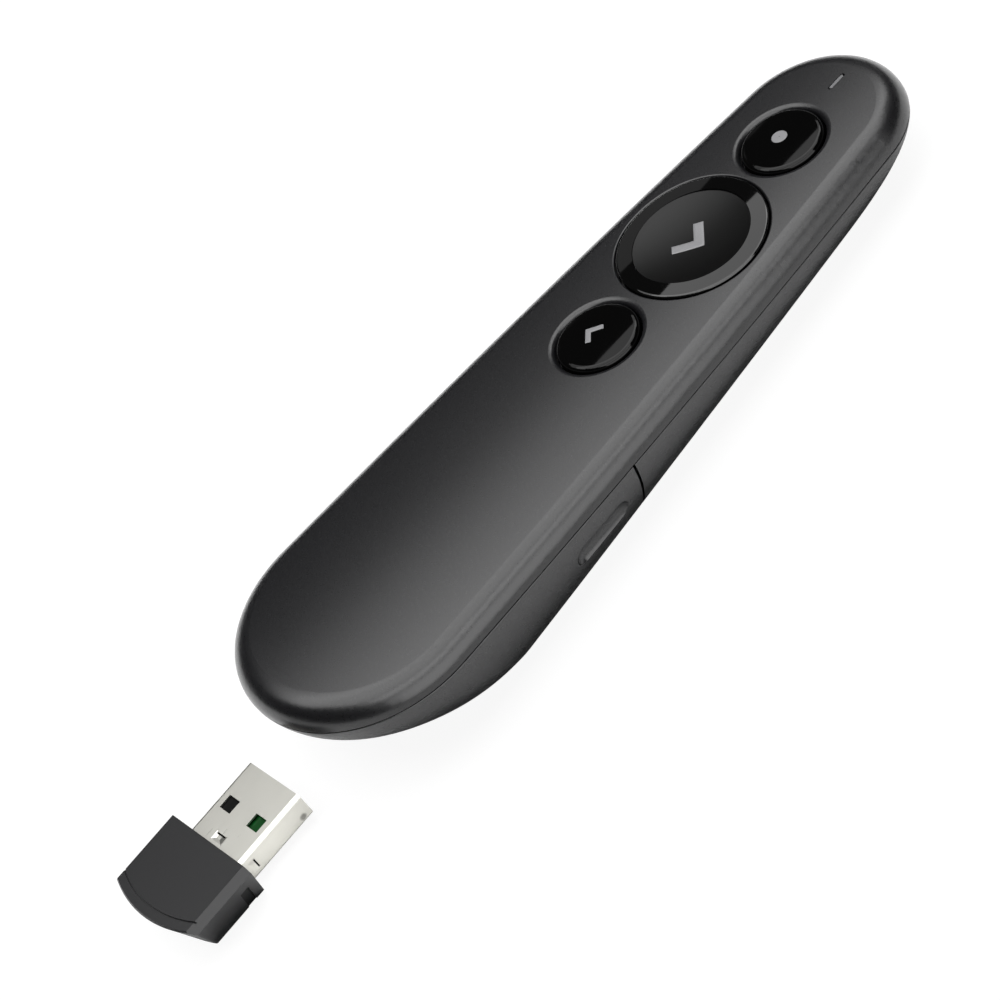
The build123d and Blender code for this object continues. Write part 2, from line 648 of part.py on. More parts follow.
# ================================================================ receiver
# The receiver lies level, so it is drawn straight on the table.
LIP = 1.5
GROOVE = 0.3
GROOVE_L = 4.0  # how far forward the groove's ends reach
NOTCH_L = 1.6
NOTCH_H = 4.4
NOTCH_IN = 2.4
NOTCH_BACK = 1.5
POCKET_L = 9.5
SHELL_IN = 4.0
LEAN = math.sin(math.radians(RECV_DRAFT))
TOP_SIDE = RECV_W / 2 + LEAN * RECV_CHAMFER
TOP_BACK = RECV_BACK - LEAN * RECV_EDGE
BACK_SIDE = TOP_BACK + RECV_REAR_R - math.sqrt(RECV_REAR_R**2 - TOP_SIDE**2)


def box_at(wide, long, high, y_front, bottom, x=0.0, mode=Mode.ADD):
    """Block on the receiver's centre line, measured back from its front end."""
    with Locations((x, y_front, bottom)):
        Box(wide, long, high, align=(Align.CENTER, Align.MAX, Align.MIN), mode=mode)


with BuildPart() as receiver_housing:
    with BuildSketch(Plane.XY.offset(RECV_H)):
        with BuildLine():
            ThreePointArc((-TOP_SIDE, BACK_SIDE), (0, TOP_BACK), (TOP_SIDE, BACK_SIDE))
            Polyline(
                (TOP_SIDE, BACK_SIDE),
                (TOP_SIDE, PLUG_FACE + RECV_H),
                (-TOP_SIDE, PLUG_FACE + RECV_H),
                (-TOP_SIDE, BACK_SIDE),
            )
        make_face()
    extrude(amount=-RECV_H, taper=RECV_DRAFT)
    split(bisect_by=Plane(origin=(0, PLUG_FACE, 0), z_dir=(0, -1, 0)), keep=Keep.TOP)
    chamfer(receiver_housing.faces().sort_by(Axis.Z)[-1].edges().filter_by(Axis.Y), RECV_CHAMFER)
    rear = receiver_housing.edges().filter_by_position(Axis.Y, TOP_BACK, PLUG_FACE - RECV_L / 3)
    fillet(rear.filter_by_position(Axis.Z, RECV_H / 4, 3 * RECV_H / 4), RECV_CORNER)
    top_face = receiver_housing.faces().sort_by(Axis.Z)[-1]
    chamfer(top_face.edges().sort_by(Axis.Y)[0], RECV_EDGE)
    base = receiver_housing.faces().sort_by(Axis.Z)[0].edges()
    fillet(base.filter_by_position(Axis.Y, TOP_BACK, PLUG_FACE - 0.1), RECV_CORNER)
    box_at(PLUG_W + 2 * FIT, SHELL_IN, PLUG_H + 2 * FIT, PLUG_FACE, PLUG_Z - PLUG_H / 2 - FIT,
           mode=Mode.SUBTRACT)
    box_at(PLUG_W - 0.8, POCKET_L, PLUG_H - 1.0, PLUG_FACE, PLUG_Z - PLUG_H / 2 + 0.5,
           mode=Mode.SUBTRACT)
    for side in (-1, 1):
        box_at(2 * NOTCH_IN, NOTCH_L, NOTCH_H, PLUG_FACE - NOTCH_BACK, 0,
               side * RECV_W / 2, mode=Mode.SUBTRACT)
    with BuildSketch(Plane.XY.offset(RECV_H)):
        with Locations((0, RECV_BACK + RECV_REAR_R)):
            Circle(RECV_REAR_R - LIP)
            Circle(RECV_REAR_R - LIP - GROOVE, mode=Mode.SUBTRACT)
        with Locations((0, RECV_BACK + GROOVE_L)):
            Rectangle(4 * RECV_W, 4 * RECV_W, align=(Align.CENTER, Align.MIN),
                      mode=Mode.SUBTRACT)
    extrude(amount=-0.3, mode=Mode.SUBTRACT)
receiver_housing.part.label = "receiver_housing"

# USB-A plug shell: folded steel tube with two square windows in each broad face.
WINDOW_ACROSS = 2.4
WINDOW_ALONG = 2.25
WINDOW_SPACE = 6.4
WINDOW_BACK = 6.5
PLUG_TIP = PLUG_FACE + PLUG_L
with BuildPart() as receiver_shell:
    with BuildSketch(Plane(origin=(0, PLUG_TIP, PLUG_Z), x_dir=(1, 0, 0), z_dir=(0, -1, 0))):
        RectangleRounded(PLUG_W, PLUG_H, 0.65)
        RectangleRounded(PLUG_W - 2 * PLUG_T, PLUG_H - 2 * PLUG_T, 0.35, mode=Mode.SUBTRACT)
    extrude(amount=PLUG_L + SHELL_IN - FIT)
    with Locations(*[(x, PLUG_TIP - WINDOW_BACK) for x in (-WINDOW_SPACE / 2, WINDOW_SPACE / 2)]):
        Box(WINDOW_ACROSS, WINDOW_ALONG, 4 * PLUG_H, mode=Mode.SUBTRACT)
receiver_shell.part.label = "receiver_shell"

# Inside it a circuit board with the radio chip, backed by a plastic tongue that carries
# the four contact blades on its under face.
SHELL_ROOF = PLUG_Z + PLUG_H / 2 - PLUG_T
RB_TOP = SHELL_ROOF - 0.32
RB_T = 0.8
RB_W = PLUG_W - 1.0
RB_L = 19.0
TONGUE_T = 0.9
TONGUE_FOOT = RB_TOP - RB_T - TONGUE_T
BLADE_T = 0.2
BLADE_W = 1.0
BLADE_L = 7.4
BLADE_BACK = 2.5
BLADE_PITCH = 2.0
BLADE_XS = (-3.5, -BLADE_PITCH / 2, BLADE_PITCH / 2, 3.5)
OUTER_MORE = 1.0  # the two outer blades reach further and touch first
SLOT_L = 9.0
SLOT_BACK = 1.4
with BuildPart() as receiver_board:
    box_at(RB_W, RB_L, RB_T, PLUG_TIP - 1.2, RB_TOP - RB_T)
receiver_board.part.label = "receiver_board"

RC_W = 4.4
RC_L = 5.0
RC_T = 0.24
RC_BACK = 4.2
RC_X = -3.1
with BuildPart() as receiver_chip:
    box_at(RC_W, RC_L, RC_T, PLUG_TIP - RC_BACK, RB_TOP, RC_X)
receiver_chip.part.label = "receiver_chip"

with BuildPart() as receiver_tongue:
    box_at(RB_W, RB_L - 1.5, TONGUE_T, PLUG_TIP - 0.9, RB_TOP - RB_T - TONGUE_T)
    for x in BLADE_XS:
        box_at(BLADE_W + 2 * FIT, SLOT_L, BLADE_T, PLUG_TIP - SLOT_BACK, TONGUE_FOOT, x,
               mode=Mode.SUBTRACT)
receiver_tongue.part.label = "receiver_tongue"

with BuildPart() as receiver_contacts:
    for x in BLADE_XS:
        longer = OUTER_MORE if abs(x) > BLADE_PITCH else 0.0
        box_at(BLADE_W, BLADE_L + longer, BLADE_T + FIT, PLUG_TIP - BLADE_BACK + longer,
               TONGUE_FOOT - FIT, x)
receiver_contacts.part.label = "receiver_contacts"

parts = [
    top_shell.part,
    lower_shell.part,
    battery_door.part,
    laser_window.part,
    laser_button,
    next_ring.part,
    next_pad.part,
    back_button,
    button_carrier.part,
    main_board.part,
    *switches,
    *plungers,
    *chips,
    capacitors.part,
    light_pipe.part,
    status_lamp.part,
    lamp_flex.part,
    laser_barrel.part,
    laser_lens.part,
    laser_diode.part,
    battery_tray.part,
    battery_can.part,
    battery_cap.part,
    contact_plus.part,
    contact_minus.part,
    battery_spring,
    tray_screws.part,
    case_screw.part,
    receiver_housing.part,
    receiver_shell.part,
    receiver_board.part,
    receiver_chip.part,
    receiver_tongue.part,
    receiver_contacts.part,
]
for solid in parts:
    export_step(solid, f"parts/{solid.label}.step")
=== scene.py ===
"""Wireless presentation clicker with its USB-A receiver, dressed for rendering."""

import bpy
import numpy as np
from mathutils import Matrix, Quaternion, Vector


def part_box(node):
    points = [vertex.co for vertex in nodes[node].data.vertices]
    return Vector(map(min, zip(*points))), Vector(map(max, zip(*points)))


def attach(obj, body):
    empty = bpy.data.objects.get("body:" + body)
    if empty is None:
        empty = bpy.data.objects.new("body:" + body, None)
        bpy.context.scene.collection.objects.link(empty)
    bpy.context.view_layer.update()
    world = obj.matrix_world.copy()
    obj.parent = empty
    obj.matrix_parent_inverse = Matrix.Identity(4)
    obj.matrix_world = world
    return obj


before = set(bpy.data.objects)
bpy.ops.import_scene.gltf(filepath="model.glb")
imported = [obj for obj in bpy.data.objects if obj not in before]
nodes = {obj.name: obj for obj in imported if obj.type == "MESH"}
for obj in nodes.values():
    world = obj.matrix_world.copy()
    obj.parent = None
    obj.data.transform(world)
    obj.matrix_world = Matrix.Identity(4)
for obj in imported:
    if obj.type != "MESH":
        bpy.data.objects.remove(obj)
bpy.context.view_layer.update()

# ---------------------------------------------------------------- camera
# A product camera on a long lens, above the right-hand side of the clicker and rolled so
# that the clicker stands across the picture from lower left to upper right.
eye = Vector((0.30835, -0.10660, 0.31183))
aim = Vector((-0.00829, -0.00268, 0.0))
camera = bpy.data.objects.new("camera", bpy.data.cameras.new("camera"))
bpy.context.collection.objects.link(camera)
camera.data.sensor_width = 36.0
camera.data.lens = 112.05
camera.data.clip_start = 0.02
camera.location = eye
camera.rotation_mode = "QUATERNION"
roll = Quaternion((0, 0, 1), np.radians(-36.28))
camera.rotation_quaternion = (aim - eye).to_track_quat("-Z", "Y") @ roll
bpy.context.scene.camera = camera
bpy.context.scene.view_settings.view_transform = "Standard"


# ---------------------------------------------------------------- table and lights
# A white paper sweep under the object. Two long softbox panels on its left draw the sheen
# along the top, and one overhead lights the rest. A strip light and two cards are seen in
# gloss alone. The room is dark, so gloss shows the lights with straight edges.
def hex_colour(text):
    """Linear RGBA from an sRGB hex colour, by the sRGB curve."""
    value = np.array([int(text[i : i + 2], 16) for i in (1, 3, 5)]) / 255
    linear = np.where(value <= 0.04045, value / 12.92, ((value + 0.055) / 1.055) ** 2.4)
    return (*linear.tolist(), 1.0)


def add_node(tree, kind, settings=None, links=None):
    """Add one node: settings name its properties or unlinked inputs, links its inputs."""
    node = tree.nodes.new(kind)
    for name, value in (settings or {}).items():
        if isinstance(name, str) and hasattr(node, name):
            setattr(node, name, value)
        else:
            node.inputs[name].default_value = value
    for name, socket in (links or {}).items():
        tree.links.new(socket, node.inputs[name])
    return node


def new_material(name):
    """A material with an empty node tree and its output node."""
    material = bpy.data.materials.new(name)
    material.use_nodes = True
    material.node_tree.nodes.clear()
    return material, material.node_tree, add_node(material.node_tree, "ShaderNodeOutputMaterial")


def add_surface(name, points, material, smooth=True, keep=None):
    """A mesh from a grid of points (rows, columns, 3): one quad between neighbours."""
    rows, columns = points.shape[:2]
    index = np.arange(rows * columns).reshape(rows, columns)
    corners = (index[:-1, :-1], index[1:, :-1], index[1:, 1:], index[:-1, 1:])
    quads = np.stack(corners, -1).reshape(-1, 4)
    if keep is not None:
        quads = quads[keep.ravel()]
    mesh = bpy.data.meshes.new(name)
    mesh.from_pydata(points.reshape(-1, 3), [], quads)
    mesh.polygons.foreach_set("use_smooth", np.full(len(quads), smooth))
    mesh.materials.append(material)
    surface = bpy.data.objects.new(name, mesh)
    bpy.context.collection.objects.link(surface)
    return surface


# Camera and transmission rays see the paper near white and still shaded under the object,
# gloss sees it brighter than it is, and all other rays see plain pale paper.
paper, tree, output = new_material("white_paper")
path = add_node(tree, "ShaderNodeLightPath")
sheet = add_node(tree, "ShaderNodeBsdfDiffuse", {"Color": hex_colour("#e8e8e8")})
shade = add_node(tree, "ShaderNodeBsdfDiffuse", {"Color": hex_colour("#646464")})
glow = add_node(tree, "ShaderNodeEmission", {"Color": (1, 1, 1, 1), "Strength": 0.92})
seen = add_node(tree, "ShaderNodeAddShader", links={0: shade.outputs[0], 1: glow.outputs[0]})
glare = add_node(tree, "ShaderNodeBsdfDiffuse", {"Color": hex_colour("#b0b0b0")})
gloss = add_node(tree, "ShaderNodeAddShader", links={0: sheet.outputs[0], 1: glare.outputs[0]})
direct = add_node(tree, "ShaderNodeMath", {"operation": "MAXIMUM"},
                  {0: path.outputs["Is Camera Ray"], 1: path.outputs["Is Transmission Ray"]})
others = add_node(tree, "ShaderNodeMixShader", links={
    0: path.outputs["Is Glossy Ray"], 1: sheet.outputs[0], 2: gloss.outputs[0]})
floor_look = add_node(tree, "ShaderNodeMixShader", links={
    0: direct.outputs[0], 1: others.outputs[0], 2: seen.outputs[0]})
tree.links.new(floor_look.outputs[0], output.inputs["Surface"])
SWEEP = 1.2  # metres from the middle of the paper to its edges
PAPER_SINK = 0.00002  # metres it lies under the object, so that no faces share a plane
edge = np.linspace(-SWEEP, SWEEP, 3)
across, along = np.meshgrid(edge, edge, indexing="ij")
floor = add_surface("floor", np.stack([across, along, 0 * across - PAPER_SINK], -1), paper)

# Camera rays see a white room, diffuse rays a dim fill and gloss next to nothing.
world = bpy.data.worlds.new("studio")
bpy.context.scene.world = world
world.use_nodes = True
tree = world.node_tree
tree.nodes.clear()
output = add_node(tree, "ShaderNodeOutputWorld")
path = add_node(tree, "ShaderNodeLightPath")
fill = add_node(tree, "ShaderNodeMath", {"operation": "MULTIPLY_ADD", 1: 0.05, 2: 0.02},
                {0: path.outputs["Is Diffuse Ray"]})
strength = add_node(tree, "ShaderNodeMath", {"operation": "MAXIMUM"},
                    {0: path.outputs["Is Camera Ray"], 1: fill.outputs[0]})
room = add_node(tree, "ShaderNodeBackground", {"Color": (1, 1, 1, 1)},
                {"Strength": strength.outputs[0]})
tree.links.new(room.outputs[0], output.inputs["Surface"])


def softbox(name, middle, towards, wide, high, radiance):
    """Rectangular area light; its power is four times its area times its radiance."""
    light = bpy.data.lights.new(name, "AREA")
    light.shape = "RECTANGLE"
    light.size = wide
    light.size_y = high
    light.energy = 4 * wide * high * radiance
    lamp = bpy.data.objects.new(name, light)
    bpy.context.collection.objects.link(lamp)
    lamp.location = middle
    aimed = Vector(towards) - Vector(middle)
    lamp.rotation_euler = aimed.to_track_quat("-Z", "Y").to_euler()
    return lamp


BOOM = 0.60  # metres from the table up to the panels
FAR, NEAR, ABOVE = (-0.472, 0.25), (-0.2575, 0.25), (0.02, 0.10)
softbox("softbox_far_panel", (*FAR, BOOM), (*FAR, 0.0), 0.184, 1.5, 1.3)
softbox("softbox_near_panel", (*NEAR, BOOM), (*NEAR, 0.0), 0.245, 1.5, 3.0)
strip = softbox("strip_light", (-0.84, 0.43, 0.588), (0.0, 0.43, 0.0), 0.34, 0.12, 0.22)
softbox("overhead_panel", (*ABOVE, BOOM), (*ABOVE, 0.0), 0.28, 1.0, 2.6)
key = softbox("key_card", (0.33, 0.0, BOOM), (0.10, 0.0, 0.0), 0.9, 0.24, 3.3)
side = softbox("side_card", (0.95, 0.0, 0.45), (0.0, 0.0, 0.05), 1.4, 0.8, 2.6)
for card in (strip, key, side):
    card.visible_diffuse = False


# ---------------------------------------------------------------- case
# Upper half, lower half and battery door, injection moulded in graphite ABS. The mould is
# spark-eroded, which leaves a fine even grain and a broad soft sheen.
def moulded_plastic(name, colour, roughness, grain=0.25, depth=0.012, spread=0.05, ior=1.53,
                    mirror=0.5):
    """Plastic with a spark-eroded grain: noise of the grain's size in mm moves the
    roughness and the height, and slow noise some 20 mm wide tints the colour. Mirror
    scales the gloss that its IOR gives, which 0.5 leaves alone."""
    material, tree, output = new_material(name)
    place = add_node(tree, "ShaderNodeTexCoord").outputs["Object"]
    fine = add_node(tree, "ShaderNodeTexNoise", {"Scale": 1000 / grain, "Detail": 2.0},
                    {"Vector": place})
    slow = add_node(tree, "ShaderNodeTexNoise", {"Scale": 1000 / 20, "Detail": 3.0},
                    {"Vector": place})
    base = np.array(hex_colour(colour))
    tint = add_node(tree, "ShaderNodeValToRGB", links={"Fac": slow.outputs["Fac"]})
    tint.color_ramp.elements[0].color = (*(base[:3] * 0.93), 1)
    tint.color_ramp.elements[0].position = 0.35
    tint.color_ramp.elements[1].color = (*(base[:3] * 1.07), 1)
    tint.color_ramp.elements[1].position = 0.65
    sheen = add_node(tree, "ShaderNodeMapRange", {"To Min": roughness - spread,
                                                  "To Max": roughness + spread},
                     {"Value": fine.outputs["Fac"]})
    bump = add_node(tree, "ShaderNodeBump", {"Strength": 0.35, "Distance": depth / 1000},
                    {"Height": fine.outputs["Fac"]})
    shader = add_node(tree, "ShaderNodeBsdfPrincipled", {
        "IOR": ior, "Specular IOR Level": mirror}, {
        "Base Color": tint.outputs["Color"], "Roughness": sheen.outputs[0],
        "Normal": bump.outputs["Normal"]})
    tree.links.new(shader.outputs[0], output.inputs["Surface"])
    return material


def dress(material, *names):
    """Give carried-over CAD nodes a material."""
    for name in names:
        mesh = nodes[name].data
        mesh.materials.clear()
        mesh.materials.append(material)


graphite_abs = moulded_plastic("spark_eroded_graphite_abs", "#131315", 0.29, depth=0.003, ior=1.55)
dress(graphite_abs, "top_shell", "lower_shell", "battery_door")

# ---------------------------------------------------------------- laser window
# Smoked acrylic plate set flush in the nose; the beam leaves through it. Polished, dark,
# almost black, with a red cast where light gets through.
def polished(name, colour, ior, clouds, finest, dullest, clear=0.0, mirror=0.5, detail=2.0):
    """Glass or plastic with a polished face: noise in clouds of so many mm moves its
    roughness between the finest and the dullest. Clear is the share of light let through,
    and mirror scales the gloss that its IOR gives, which 0.5 leaves alone."""
    material, tree, output = new_material(name)
    place = add_node(tree, "ShaderNodeTexCoord").outputs["Object"]
    haze = add_node(tree, "ShaderNodeTexNoise", {"Scale": 1000 / clouds, "Detail": detail},
                    {"Vector": place})
    polish = add_node(tree, "ShaderNodeMapRange", {"To Min": finest, "To Max": dullest},
                      {"Value": haze.outputs["Fac"]})
    shader = add_node(tree, "ShaderNodeBsdfPrincipled", {
        "Base Color": hex_colour(colour), "IOR": ior, "Transmission Weight": clear,
        "Specular IOR Level": mirror}, {"Roughness": polish.outputs[0]})
    tree.links.new(shader.outputs[0], output.inputs["Surface"])
    return material


smoked_acrylic = polished("smoked_acrylic", "#16080a", 1.49, 10 / 9, 0.03, 0.07, clear=0.25)
dress(smoked_acrylic, "laser_window")

# ---------------------------------------------------------------- button caps
# The laser cap, the back cap and the ring of the next button, black ABS from a polished
# steel mould, so they mirror the room sharply. The two small caps are the same plastic, set
# to mirror a third as much as it does, to keep a light panel off them.
polished_black_abs = polished("polished_black_abs", "#060606", 1.53, 2.5, 0.015, 0.045,
                              detail=4.0)
dress(polished_black_abs, "next_ring")
polished_cap_abs = polished("polished_black_cap_abs", "#060606", 1.53, 2.5, 0.015, 0.045,
                            mirror=0.17, detail=4.0)
dress(polished_cap_abs, "laser_button", "back_button")

# The dished pad of the next button, moulded in black ABS with a fine satin finish. Its
# mirror level too is set at about a third of the plain plastic's.
satin_black_abs = moulded_plastic("satin_black_abs", "#080808", 0.30, 0.2, 0.002, 0.02,
                                  mirror=0.18)
dress(satin_black_abs, "next_pad")

# ---------------------------------------------------------------- printed marks
# Pad-printed light grey ink, about 0.02 mm thick: a dot on the laser cap, an arrowhead on
# the next pad and a smaller one on the back cap.
RISE = np.radians(2.6)  # how the top face falls toward the nose
NEXT_Y = 41.9  # middle of the next button, in mm from the origin
NEXT_Z = 14.15  # height of the top face there
LASER_Y, BACK_Y = 20.6, -20.95  # the small caps ahead of the next button and behind it
CROWN = 150.0  # radius of the top face across its width
PROUD = 0.2  # how far the caps stand out of the face
PAD_R = 9.25  # rim of the pad
DISH_R, DISH_DIP = 9.2, 0.9  # its dish and how far that sinks
DOT_R = 1.25
DOT_X, DOT_Y = -0.6, 0.3  # middle of the dot, from the middle of its cap
INK = 0.02  # how thick it lies


def on_top(points):
    """World metres from millimetres across, along and above the sloping top face."""
    x, y, z = np.moveaxis(np.asarray(points, float), -1, 0)
    north = NEXT_Y + y * np.cos(RISE) + z * np.sin(RISE)
    height = NEXT_Z - y * np.sin(RISE) + z * np.cos(RISE)
    return np.stack([x, north, height], -1) / 1000


def cap_height(x, y):
    """Height of a crowned cap: a cylinder of the crown's radius, PROUD above the face."""
    return np.sqrt((CROWN + PROUD) ** 2 - x**2) - CROWN


def pad_height(x, y):
    """Height of the dish: rim less its dip times one minus the radius ratio squared."""
    rim = PROUD - PAD_R**2 / (2 * CROWN)
    return rim - DISH_DIP * (1 - (x**2 + y**2) / DISH_R**2)


def plateau(count):
    """Ink height across a mark: flat, falling to just under the cap at both edges."""
    lift = np.full(count, INK)
    lift[[0, -1]] = -INK
    return lift


# The ink is a little mottled, in cells some 0.2 mm wide.
ink, tree, output = new_material("pad_printed_ink")
place = add_node(tree, "ShaderNodeTexCoord").outputs["Object"]
cells = add_node(tree, "ShaderNodeTexNoise", {"Scale": 1000 / 0.2, "Detail": 2.0},
                 {"Vector": place})
tint = add_node(tree, "ShaderNodeValToRGB", links={"Fac": cells.outputs["Fac"]})
tint.color_ramp.elements[0].color = hex_colour("#7b7b7d")
tint.color_ramp.elements[1].color = hex_colour("#8a8a8c")
shader = add_node(tree, "ShaderNodeBsdfPrincipled", {"IOR": 1.5, "Roughness": 0.4},
                  {"Base Color": tint.outputs["Color"]})
tree.links.new(shader.outputs[0], output.inputs["Surface"])


def arrowhead(name, outer, inner, middle, height):
    """Bent bar between an outer and an inner line of three corners each: every point
    slides evenly along its line and evenly between the two lines."""
    t = np.concatenate([np.linspace(0, 1, 13), np.linspace(1, 2, 13)[1:]])
    edge_a = np.stack([np.interp(t, (0, 1, 2), np.array(outer)[:, k]) for k in (0, 1)], -1)
    edge_b = np.stack([np.interp(t, (0, 1, 2), np.array(inner)[:, k]) for k in (0, 1)], -1)
    s = np.array([0, 0.02, 0.25, 0.5, 0.75, 0.98, 1.0])[None, :, None]
    flat = edge_a[:, None] * (1 - s) + edge_b[:, None] * s
    lift = np.minimum(plateau(len(t))[:, None], plateau(s.size)[None, :])
    x, y = flat[..., 0], flat[..., 1]
    points = np.stack([x, y + middle, height(x, y) + lift], -1)
    return add_surface(name, on_top(points), ink)


# The dot is a grid of rings, from a twentieth of its radius to the rim, by angles; the last
# ring dips under the cap.
ring, angle = np.meshgrid(np.array([0.05, 0.3, 0.6, 0.9, 0.98, 1.0]) * DOT_R,
                          np.radians(np.arange(0, 361, 7.5)), indexing="ij")
x, y = ring * np.cos(angle) + DOT_X, ring * np.sin(angle) + DOT_Y
lift = np.array([INK, INK, INK, INK, INK, -INK])[:, None]
laser_mark = add_surface(
    "laser_mark", on_top(np.stack([x, y + LASER_Y, cap_height(x, y) + lift], -1)), ink)
next_mark = arrowhead("next_mark", [(-1.3, 3.7), (2.4, 0.0), (-1.3, -3.7)],
                      [(-2.45, 2.55), (0.03, 0.0), (-2.45, -2.55)], 0.0, pad_height)
back_mark = arrowhead("back_mark", [(-0.5, 2.2), (-2.5, 0.1), (-0.5, -2.0)],
                      [(0.13, 1.57), (-1.28, 0.1), (0.13, -1.37)], BACK_Y, cap_height)
for mark, body in ((laser_mark, "laser_key"), (next_mark, "next_key"), (back_mark, "back_key")):
    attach(mark, body)

# ---------------------------------------------------------------- status lamp
# A frosted polycarbonate light pipe fills the slit in the nose; a tiny lamp in cream resin
# stands on a polyimide flex strip under its arm.
frosted_pc = moulded_plastic("frosted_polycarbonate", "#707072", 0.3, 0.2, 0.004)
dress(frosted_pc, "light_pipe")
polyimide = moulded_plastic("polyimide_film", "#a8641e", 0.3, 0.6, 0.002)
dress(polyimide, "lamp_flex")
lamp_resin = moulded_plastic("lamp_resin", "#e8e2c8", 0.35, 0.3, 0.003)
dress(lamp_resin, "status_lamp")

# ---------------------------------------------------------------- inner plastics
# Heat-staked carrier plate in natural acetal, which is off-white, switch plungers in black
# acetal, and the battery tray in black ABS straight from a plain mould.
natural_acetal = moulded_plastic("natural_acetal", "#dcd8cc", 0.45, 0.5, 0.004)
dress(natural_acetal, "button_carrier")
black_acetal = moulded_plastic("black_acetal", "#1a1a1a", 0.4, 0.3, 0.004)
dress(black_acetal, "plunger_laser", "plunger_next", "plunger_back")
plain_black_abs = moulded_plastic("plain_black_abs", "#18181a", 0.5, 0.6, 0.006)
dress(plain_black_abs, "battery_tray")

# ---------------------------------------------------------------- circuit board
# Glass-epoxy board under green solder mask, the copper showing as lighter raised areas; its
# parts are moulded epoxy, nylon, ferrite and fired ceramic. The receiver's board and chip are
# set duller and darker than these, painted shade that keeps them dark in its windows.
def solder_mask(name, colour, trace, pitch, mirror):
    """Green lacquer over copper: square cells of a Voronoi pattern, some so many mm apart,
    give the copper areas, whose edges stand a little proud."""
    material, tree, output = new_material(name)
    place = add_node(tree, "ShaderNodeTexCoord").outputs["Object"]
    cells = add_node(tree, "ShaderNodeTexVoronoi", {"Scale": 1000 / pitch,
                                                    "distance": "CHEBYCHEV"},
                     {"Vector": place})
    copper = add_node(tree, "ShaderNodeMath", {"operation": "LESS_THAN", 1: 0.32},
                      {0: cells.outputs["Distance"]})
    tint = add_node(tree, "ShaderNodeMix", {"data_type": "RGBA", 6: hex_colour(colour),
                                            7: hex_colour(trace)}, {0: copper.outputs[0]})
    bump = add_node(tree, "ShaderNodeBump", {"Strength": 0.4, "Distance": 0.00003},
                    {"Height": copper.outputs[0]})
    shader = add_node(tree, "ShaderNodeBsdfPrincipled", {
        "IOR": 1.5, "Roughness": 0.28, "Specular IOR Level": mirror}, {
        "Base Color": tint.outputs[2], "Normal": bump.outputs["Normal"]})
    tree.links.new(shader.outputs[0], output.inputs["Surface"])
    return material


green_mask = solder_mask("green_solder_mask", "#0b4a22", "#156b34", 1.1, 0.5)
dress(green_mask, "main_board")
# Painted shade: the receiver's board is a darker green than the main board, for the shade inside
# the plug.
matt_shaded_mask = solder_mask("matt_green_solder_mask_painted_shade", "#063d14", "#08461a", 1.1, 0.1)
dress(matt_shaded_mask, "receiver_board")
moulded_epoxy = moulded_plastic("moulded_epoxy", "#151515", 0.5, 0.15, 0.004)
dress(moulded_epoxy, "radio_chip", "power_chip")
# Painted shade: the receiver's chip is near black, darker than the other epoxy, for the shade in
# the plug's window.
matt_shaded_epoxy = moulded_plastic("matt_epoxy_encapsulant_painted_shade", "#060606", 0.75, 0.1, 0.006, mirror=0.1)
dress(matt_shaded_epoxy, "receiver_chip")
switch_nylon = moulded_plastic("glass_filled_nylon", "#26262a", 0.45, 0.25, 0.005)
dress(switch_nylon, "switch_laser", "switch_next", "switch_back")
ferrite = moulded_plastic("ferrite", "#3a3836", 0.6, 0.2, 0.01)
dress(ferrite, "inductor")
ceramic = moulded_plastic("fired_ceramic", "#9a8568", 0.4, 0.1, 0.002)
dress(ceramic, "capacitors")

# ---------------------------------------------------------------- metal
# Nickel-plated steel of the cell's contacts, spring and cap and of the crystal's can,
# blackened steel screws, turned brass laser barrel, gilt diode and plug contacts, and the
# polished glass lens in the mouth of the barrel.
def metal(name, colour, roughness, stretch, pitch, depth=0.002):
    """Metal with tool marks: noise drawn out along one axis moves roughness and height."""
    material, tree, output = new_material(name)
    place = add_node(tree, "ShaderNodeTexCoord").outputs["Object"]
    drawn = add_node(tree, "ShaderNodeMapping", {"Scale": stretch}, {"Vector": place})
    marks = add_node(tree, "ShaderNodeTexNoise", {"Scale": 1000 / pitch, "Detail": 3.0},
                     {"Vector": drawn.outputs[0]})
    sheen = add_node(tree, "ShaderNodeMapRange", {"To Min": roughness * 0.8,
                                                  "To Max": roughness * 1.2},
                     {"Value": marks.outputs["Fac"]})
    bump = add_node(tree, "ShaderNodeBump", {"Strength": 0.3, "Distance": depth / 1000},
                    {"Height": marks.outputs["Fac"]})
    shader = add_node(tree, "ShaderNodeBsdfPrincipled", {
        "Base Color": hex_colour(colour), "Metallic": 1.0}, {
        "Roughness": sheen.outputs[0], "Normal": bump.outputs["Normal"]})
    tree.links.new(shader.outputs[0], output.inputs["Surface"])
    return material


nickel_plate = metal("nickel_plated_steel", "#c2bfb6", 0.28, (1, 0.1, 1), 0.3)
dress(nickel_plate, "contact_plus", "contact_minus", "battery_spring", "crystal", "battery_cap")
blackened_steel = metal("blackened_steel", "#4a4a4c", 0.35, (1, 1, 0.2), 0.3)
dress(blackened_steel, "tray_screws", "case_screw")
turned_brass = metal("turned_brass", "#c79a4b", 0.22, (1, 6, 1), 0.4)
dress(turned_brass, "laser_barrel")
gilt_plate = metal("gilt_diode_cap", "#c9a24e", 0.25, (1, 1, 1), 0.3)
dress(gilt_plate, "laser_diode", "receiver_contacts")
lens_glass = polished("lens_glass", "#f4f6f8", 1.52, 0.5, 0.0, 0.03, clear=1.0)
dress(lens_glass, "laser_lens")

